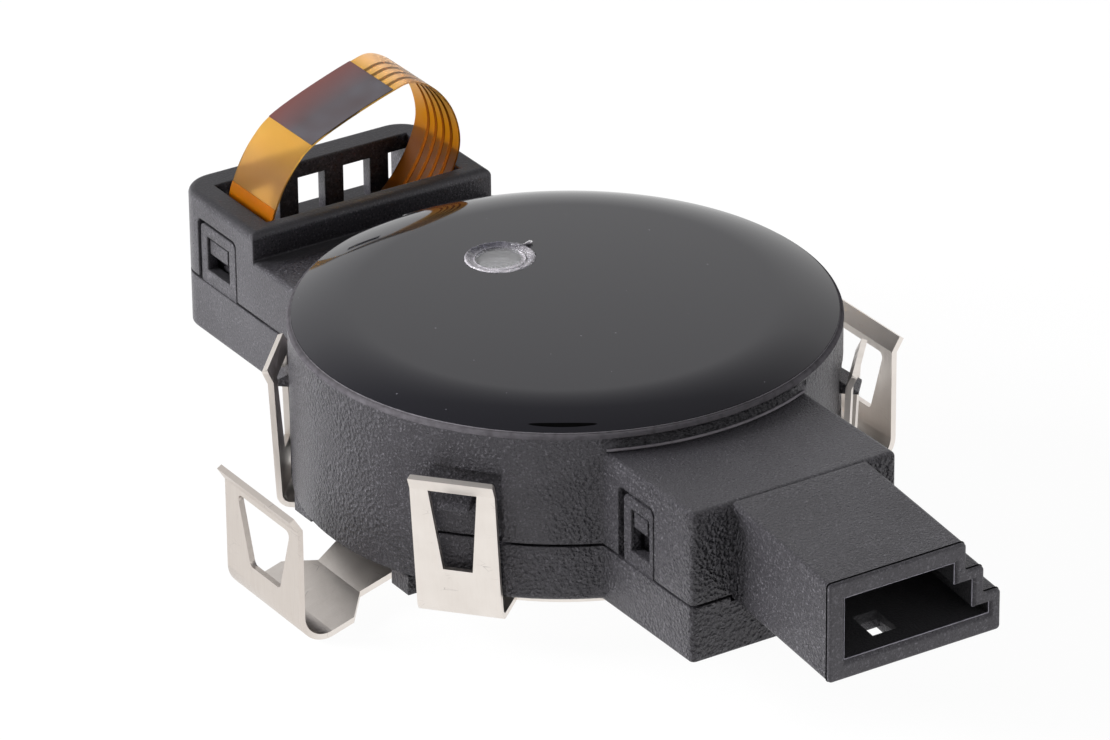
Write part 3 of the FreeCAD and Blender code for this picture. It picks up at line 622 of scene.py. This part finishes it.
def dress_nodes(clear):
    plastic = housing_look()
    for name in ("upper_housing", "lower_housing"):
        dress(name, plastic, housing_edge_r)
    dress("light_pipe", clear)
    black = plain_look("black_polymer", (0.02, 0.02, 0.022), 0.4)
    for name in ("controller_chip", "bus_transceiver", "pin_carrier", "foil_socket", "humidity_sensor"):
        dress(name, black)
    dress("lens_plate", plain_look("lens_black", (0.02, 0.012, 0.02), 0.08))
    dress("circuit_board", plain_look("solder_mask", (0.02, 0.12, 0.045), 0.35))
    dress("infrared_emitters", plain_look("clear_epoxy", (0.7, 0.72, 0.78), 0.1))
    dress("infrared_receivers", plain_look("filter_epoxy", (0.03, 0.018, 0.03), 0.12))
    dress("ambient_light_sensor", plain_look("sensor_epoxy", (0.05, 0.035, 0.05), 0.15))
    dress("capacitors", plain_look("ceramic", (0.42, 0.28, 0.15), 0.5))
    dress("filter_coil", plain_look("ferrite", (0.07, 0.07, 0.072), 0.6))
    dress("crystal", plain_look("plated_can", (0.7, 0.7, 0.68), 0.25, Metallic=1.0))
    dress("contact_pins", plain_look("tinned_pins", (0.82, 0.76, 0.6), 0.22, Metallic=1.0), pin_edge_r)


# Pad

def pad_height(r):
    """Height of the pad's face at a radius: a flat dome, then a rounder shoulder."""
    if r <= pad_shoulder_r:
        t = r / pad_shoulder_r
        return pad_crown_z - (pad_crown_z - pad_shoulder_z) * t * t
    t = (r - pad_shoulder_r) / (pad_r - pad_shoulder_r)
    line = pad_shoulder_z + (pad_edge_z - pad_shoulder_z) * t
    return line + 4 * pad_shoulder_rise * t * (1 - t)


def pad_piece():
    """The domed face, from the window's well to the pad's edge, closed underneath."""
    angles = around(pad_turns)
    well_r = window_r + window_gap
    well = [(window_at.x + well_r * math.cos(a), window_at.y + well_r * math.sin(a)) for a in angles]
    edge = [(pad_r * math.cos(a), pad_r * math.sin(a)) for a in angles]
    rows = [[(x, y, pad_foot_z) for x, y in well]]
    for k in range(pad_rings + 1):
        t = math.sin(math.pi / 2 * k / pad_rings)
        row = []
        for (well_x, well_y), (edge_x, edge_y) in zip(well, edge):
            x = (1 - t) * well_x + t * edge_x
            y = (1 - t) * well_y + t * edge_y
            row.append((x, y, pad_height(min(math.hypot(x, y), pad_r))))
        rows.append(row)
    rows.append([(x, y, pad_foot_z) for x, y in edge])
    made = piece("pad_face", *skin(rows, True), [pad_look()], "root")
    sharpen(made, pad_crease_angle)
    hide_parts("coupling_pad")


def pad_gap():
    """The sliver of shadow where the pad's edge lifts off its seat, at the front."""
    verts = []
    for i in range(shadow_steps + 1):
        t = i / shadow_steps
        a = math.radians(shadow_from + (shadow_to - shadow_from) * t)
        half = shadow_half_w * math.sin(math.pi * t) ** 0.5 + shadow_tip_half_w
        for r in (shadow_r - half, shadow_r + half):
            verts.append((r * math.cos(a), r * math.sin(a), pad_height(r) + shadow_lift))
    faces = [(2 * i, 2 * i + 1, 2 * i + 3, 2 * i + 2) for i in range(shadow_steps)]
    made = piece("pad_gap", verts, faces, [line_look("gap_shadow", (0.002, 0.002, 0.002))], "root")


# Edge lines of the housing

def cut_loops(node, x):
    """The closed lines where a plane across X meets a CAD node, the longest first."""
    shape = bmesh.new()
    shape.from_mesh(nodes[node].data)
    bmesh.ops.remove_doubles(shape, verts=shape.verts, dist=weld_gap * mm)
    edges = cut_edges(shape, (x * mm, 0, 0), (1, 0, 0))
    loops = []
    while edges:
        start, at = edges.pop(0).verts
        points = [start.co / mm, at.co / mm]
        while at != start:
            ahead = [e for e in at.link_edges if e in edges]
            if not ahead:
                break
            edges.remove(ahead[0])
            at = ahead[0].other_vert(at)
            points.append(at.co / mm)
        loops.append(points[:-1])
    shape.free()
    return sorted(loops, key=lambda line: -sum((a - b).length for a, b in zip(line, line[1:])))


def edge_line(name, points, radius, colour):
    """A thin closed tube along an edge."""
    middle = sum(points, Vector()) / len(points)
    rows = []
    for i, point in enumerate(points):
        ahead = (points[(i + 1) % len(points)] - points[i - 1]).normalized()
        out = (point - middle).cross(ahead).cross(ahead).normalized()
        rows.append(tube_row(point, out, ahead.cross(out), radius, mouth_tube_sides))
    made = piece(name, *skin(rows, True), [line_look(name, colour)], "root")


def turned_line(name, profile, start, end, colour, tail_share=1.0):
    """A closed outline of radii and heights, turned about the part's axis from start to end degrees."""
    whole = end - start == 360
    steps = max(fewest_line_steps, round((end - start) * line_steps_per_degree))
    rows = []
    for i in range(steps if whole else steps + 1):
        a = math.radians(start + (end - start) * i / steps)
        rows.append([(r * math.cos(a), r * math.sin(a), z) for r, z in profile])
    made = piece(name, *skin(rows, whole), [line_look(name, colour, tail_share)], "root")
    sharpen(made)


def round_outline(r, z, radius):
    """A circle of radii and heights, for a turned line."""
    return [(r + radius * math.cos(a), z + radius * math.sin(a)) for a in around(line_sides)]


def edge_lines():
    mouth_x = (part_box("upper_housing")[1] / mm).x
    outer = cut_loops("upper_housing", mouth_x - mouth_line_back)[0]
    edge_line("mouth_line", outer, mouth_line_r, (0.003, 0.003, 0.0035))
    # painted highlight: a pale line along the mouth's inner edge
    inner = cut_loops("upper_housing", mouth_x - mouth_highlight_back)[1]
    edge_line("mouth_highlight", inner, mouth_highlight_r, (0.3, 0.29, 0.33))
    # painted highlights: pale lines on the collar's band, fringe and lip; the band and fringe fade into
    # painted shade towards the chamber
    band = [(rim_r + r, rim_z + z) for r, z in band_profile]
    turned_line("collar_band_sheen", band, 0, 360, (0.085, 0.08, 0.088), 0.6)
    fringe = round_outline(pad_r + fringe_out, fringe_z, fringe_line_r)
    turned_line("collar_fringe_highlight", fringe, 0, 360, (0.15, 0.143, 0.155), 0.4)
    lip = round_outline(lip_r, lip_z, lip_line_r)
    turned_line("collar_lip_highlight", lip, -lip_turn, lip_turn, (0.2, 0.187, 0.205))


# Window

def window_piece(clear, frosted):
    """A clear disc in a crinkled ring, flush with the pad."""
    top = pad_height(math.hypot(window_at.x, window_at.y))
    profile = [(window_r + out, h) for out, h in window_rim]
    profile += [(window_inner_r + out, h) for out, h in window_step]
    profile += [(r, -window_dish) for r in window_dish_radii]
    ring_from = window_inner_r - ring_overlap
    rows = []
    for r, h in profile:
        ring = 0.0 if h == window_foot else max(0.0, min(1.0, (r - ring_from) / ring_fade))
        row = []
        for a in around(window_turns):
            seed = Vector((r * math.cos(a), r * math.sin(a), 0.0))
            lift = noise.fractal(seed * crinkle_pitch, crinkle_roughness, crinkle_step, crinkle_octaves)
            lift *= crinkle_h * ring
            push = noise.noise(seed * push_pitch + push_seed) * crinkle_push * ring
            row.append((window_at.x + (r + push) * math.cos(a), window_at.y + (r + push) * math.sin(a),
                        top + h + lift))
        rows.append(row)
    made = piece("window_disc", *skin(rows), [clear, frosted], "root")
    for face in made.data.polygons:
        dx = face.center.x / mm - window_at.x
        dy = face.center.y / mm - window_at.y
        crescent = math.hypot(dx + crescent_off, dy) > crescent_r
        face.material_index = 1 if crescent or ring_from < math.hypot(dx, dy) else 0
    sharpen(made)
    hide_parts("light_window")


def window_burr(frosted):
    """A whisker of silicone left at the window's edge, thickest near its tip."""
    top = pad_height(math.hypot(window_at.x, window_at.y)) + burr_h
    rows = []
    for i, (dx, dy, radius) in enumerate(burr_path):
        before = burr_path[max(i - 1, 0)]
        after = burr_path[min(i + 1, len(burr_path) - 1)]
        ahead = Vector((after[0] - before[0], after[1] - before[1], 0)).normalized()
        out = Vector((ahead.y, -ahead.x, 0))
        middle = Vector((window_at.x + dx, window_at.y + dy, top))
        rows.append(tube_row(middle, out, Vector((0, 0, 1)), radius, burr_sides))
    made = piece("window_burr", *skin(rows), [frosted], "root")


# Foil

def curve_through(points, steps):
    """A smooth line through points (a centripetal spline), with steps points between each two."""
    pts = [Vector(p) for p in points]
    pts = [pts[0] * 2 - pts[1]] + pts + [pts[-1] * 2 - pts[-2]]
    line = []
    for p0, p1, p2, p3 in zip(pts, pts[1:], pts[2:], pts[3:]):
        t0 = 0.0
        t1 = t0 + (p1 - p0).length ** 0.5
        t2 = t1 + (p2 - p1).length ** 0.5
        t3 = t2 + (p3 - p2).length ** 0.5
        for k in range(steps):
            t = t1 + (t2 - t1) * k / steps
            a1 = p0 * ((t1 - t) / (t1 - t0)) + p1 * ((t - t0) / (t1 - t0))
            a2 = p1 * ((t2 - t) / (t2 - t1)) + p2 * ((t - t1) / (t2 - t1))
            a3 = p2 * ((t3 - t) / (t3 - t2)) + p3 * ((t - t2) / (t3 - t2))
            b1 = a1 * ((t2 - t) / (t2 - t0)) + a2 * ((t - t0) / (t2 - t0))
            b2 = a2 * ((t3 - t) / (t3 - t1)) + a3 * ((t - t1) / (t3 - t1))
            line.append(b1 * ((t2 - t) / (t2 - t1)) + b2 * ((t - t1) / (t2 - t1)))
    line.append(pts[-2])
    return line


def ribbon(name, line, x, depth, thickness, material, body="root", across=foil_across):
    """A strip that follows a line in the YZ plane, its outer face depth inside that line."""
    x0, x1 = x
    rows = []
    for i, point in enumerate(line):
        ahead = line[min(i + 1, len(line) - 1)] - line[max(i - 1, 0)]
        inward = Vector((ahead.y, -ahead.x)).normalized()
        outer = point + inward * depth
        inner = point + inward * (depth + thickness)
        row = []
        for k in range(across + 1):
            row.append((x0 + (x1 - x0) * k / across, outer.x, outer.y))
        for k in range(across, -1, -1):
            row.append((x0 + (x1 - x0) * k / across, inner.x, inner.y))
        rows.append(row)
    made = piece(name, *skin(rows), [material], body)
    sharpen(made)
    return made


def press(made):
    """Gives the piece its own copy of its mesh."""
    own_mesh(made)


def foil_pieces():
    line = curve_through(foil_foot + foil_patch + foil_bow, foil_steps)
    (patch_y, patch_z), (patch_end_y, patch_end_z) = foil_patch
    strip = ribbon("foil_strip", line, foil_x, 0.0, foil_t, film_look())
    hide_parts("flex_foil")
    press(strip)

    copper = copper_look()
    patch_end = line.index(min(line, key=lambda p: (p - Vector(foil_patch[1])).length))
    for i, offset in enumerate(trace_x):
        x0 = foil_x[0] + offset - trace_w / 2
        trace = ribbon(f"foil_trace_{i}", line[patch_end:], (x0, x0 + trace_w), foil_t, trace_t,
                       copper, across=1)
        press(trace)

    foot = [p for p in line if p.y < tape_top_z and p.x < 0]
    tape = ribbon("foil_tape", foot, foil_x, -cover_t, cover_t, tape_look())
    press(tape)

    patch = [p for p in line if patch_y - patch_slack <= p.x <= patch_end_y + patch_slack
             and p.y > patch_z - patch_slack]
    cover = ribbon("foil_cover", patch, foil_x, -cover_t, cover_t, cover_look(), "humidity_head")
    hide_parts("foil_stiffener")
    press(cover)


# Spring

def stamping():
    """The ring and both arms as one mesh, without the faces where the arms meet the ring's strips."""
    shape = bmesh.new()
    for name in ("retaining_spring", "spring_arm_left", "spring_arm_right"):
        shape.from_mesh(nodes[name].data)
    bmesh.ops.remove_doubles(shape, verts=shape.verts, dist=stamping_weld_gap * mm)
    meeting_y = -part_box("spring_arm_left")[1].y
    inner = [f for f in shape.faces
             if all(abs(abs(v.co.y) - meeting_y) < meeting_slack * mm for v in f.verts)]
    bmesh.ops.delete(shape, geom=inner, context="FACES")
    return shape


def spring_part(name, whole, steel, below=None, above=None):
    """The part of the stamping below one Y and above another, with its cuts closed."""
    shape = whole.copy()
    for y, keep_low in ((above, False), (below, True)):
        if y is not None:
            rim = cut_edges(shape, (0, y * mm, 0), (0, 1, 0), clear_outer=keep_low, clear_inner=not keep_low)
            bmesh.ops.contextual_create(shape, geom=rim)
    mesh = bpy.data.meshes.new(name)
    shape.to_mesh(mesh)
    shape.free()
    mesh.materials.append(steel)
    made = link(name, mesh)
    return made


def spring(steel):
    """The stamping, parted where its two strips leave the ring."""
    whole = stamping()
    ring = spring_part("spring_ring", whole, steel, below=strip_cut_y, above=-strip_cut_y)
    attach(ring, "root")
    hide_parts("retaining_spring")
    left = spring_part("spring_strip_left", whole, steel, below=-strip_cut_y)
    right = spring_part("spring_strip_right", whole, steel, above=strip_cut_y)
    whole.free()
    for made, side, name in ((left, -1, "left"), (right, 1, "right")):
        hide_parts(f"spring_arm_{name}")
        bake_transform(made)
    for made in (ring, left, right):
        soften(made, spring_edge_r)


# Stage

def floor():
    """Nearly white to the camera and in mirrors, matte to the lamps, and clear from below."""
    low = cad_box[0].z
    reach = floor_reach * mm
    mesh = bpy.data.meshes.new("floor")
    corners = [(x, y, low) for x, y in ((-reach, -reach), (reach, -reach), (reach, reach), (-reach, reach))]
    mesh.from_pydata(corners, [], [(0, 1, 2, 3)])
    link("floor", mesh)
    material = bpy.data.materials.new("floor")
    material.use_nodes = True
    mesh.materials.append(material)
    net = Nodes(material.node_tree)
    net.tree.nodes.remove(net.tree.nodes["Principled BSDF"])
    ray = net.add("ShaderNodeLightPath").outputs
    seen = net.most(ray["Is Camera Ray"], ray["Is Glossy Ray"], ray["Is Transmission Ray"])
    white = net.add("ShaderNodeEmission", Strength=1.0).outputs[0]
    matte = net.add("ShaderNodeBsdfDiffuse", Color=floor_grey).outputs[0]
    top = net.mix_shader(net.times(seen, floor_glow), matte, white)
    below = net.add("ShaderNodeNewGeometry").outputs["Backfacing"]
    clear = net.add("ShaderNodeBsdfTransparent").outputs[0]
    output = net.tree.nodes["Material Output"]
    net.give(net.mix_shader(below, top, clear), output.inputs["Surface"])


def sky():
    """White where it is seen or mirrored low down, darker overhead in mirrors, and plain as a light."""
    world = bpy.data.worlds.new("studio")
    bpy.context.scene.world = world
    world.use_nodes = True
    net = Nodes(world.node_tree)
    upward = net.add("ShaderNodeTexCoord").outputs["Generated"]
    height = net.add("ShaderNodeSeparateXYZ", Vector=upward).outputs["Z"]
    ramp = net.add("ShaderNodeValToRGB", Fac=height)
    horizon, overhead = ramp.color_ramp.elements
    horizon.position = sky_white_to
    horizon.color = (1, 1, 1, 1)
    overhead.position = sky_dim_from
    overhead.color = sky_dim
    ray = net.add("ShaderNodeLightPath").outputs
    mirrored = net.most(ray["Is Glossy Ray"], ray["Is Transmission Ray"])
    unseen = net.mix_colour(mirrored, sky_light, ramp.outputs[0])
    colour = net.mix_colour(ray["Is Camera Ray"], unseen, (1.0, 1.0, 1.0))
    background = net.tree.nodes["Background"]
    net.give(colour, background.inputs["Color"])
    background.inputs["Strength"].default_value = 1.0


def softbox(name, at, width, power):
    """A square area light that no surface mirrors."""
    data = bpy.data.lights.new(name, "AREA")
    data.size = width * mm
    data.energy = power
    made = link(name, data)
    made.location = Vector(at) * mm
    made.rotation_mode = "QUATERNION"
    made.rotation_quaternion = (Vector(lamp_aim) * mm - made.location).to_track_quat("-Z", "Y")
    made.visible_glossy = False


def camera():
    data = bpy.data.cameras.new("camera")
    data.sensor_width = sensor_w
    data.lens = focal_px / image_width_px * sensor_w
    data.clip_start = clip_near * mm
    data.clip_end = clip_far * mm
    made = link("camera", data)
    ahead = -Vector((math.cos(camera_elevation) * math.cos(camera_azimuth),
                     math.cos(camera_elevation) * math.sin(camera_azimuth), math.sin(camera_elevation)))
    right = ahead.cross(Vector((0, 0, 1))).normalized()
    up = right.cross(ahead)
    tilted = right * math.cos(camera_roll) + up * math.sin(camera_roll)
    upright = up * math.cos(camera_roll) - right * math.sin(camera_roll)
    turn = Matrix((tilted, upright, -ahead)).transposed()
    made.matrix_world = Matrix.Translation(Vector(camera_at) * mm) @ turn.to_4x4()
    bpy.context.scene.camera = made


# Build

clear = window_look()
frosted = frosted_look()
dress_nodes(clear)
pad_piece()
pad_gap()
edge_lines()
window_piece(clear, frosted)
window_burr(frosted)
foil_pieces()
spring(steel_look())

floor()
sky()
for lamp in lamps:
    softbox(*lamp)
camera()
bpy.context.scene.view_settings.view_transform = "Standard"
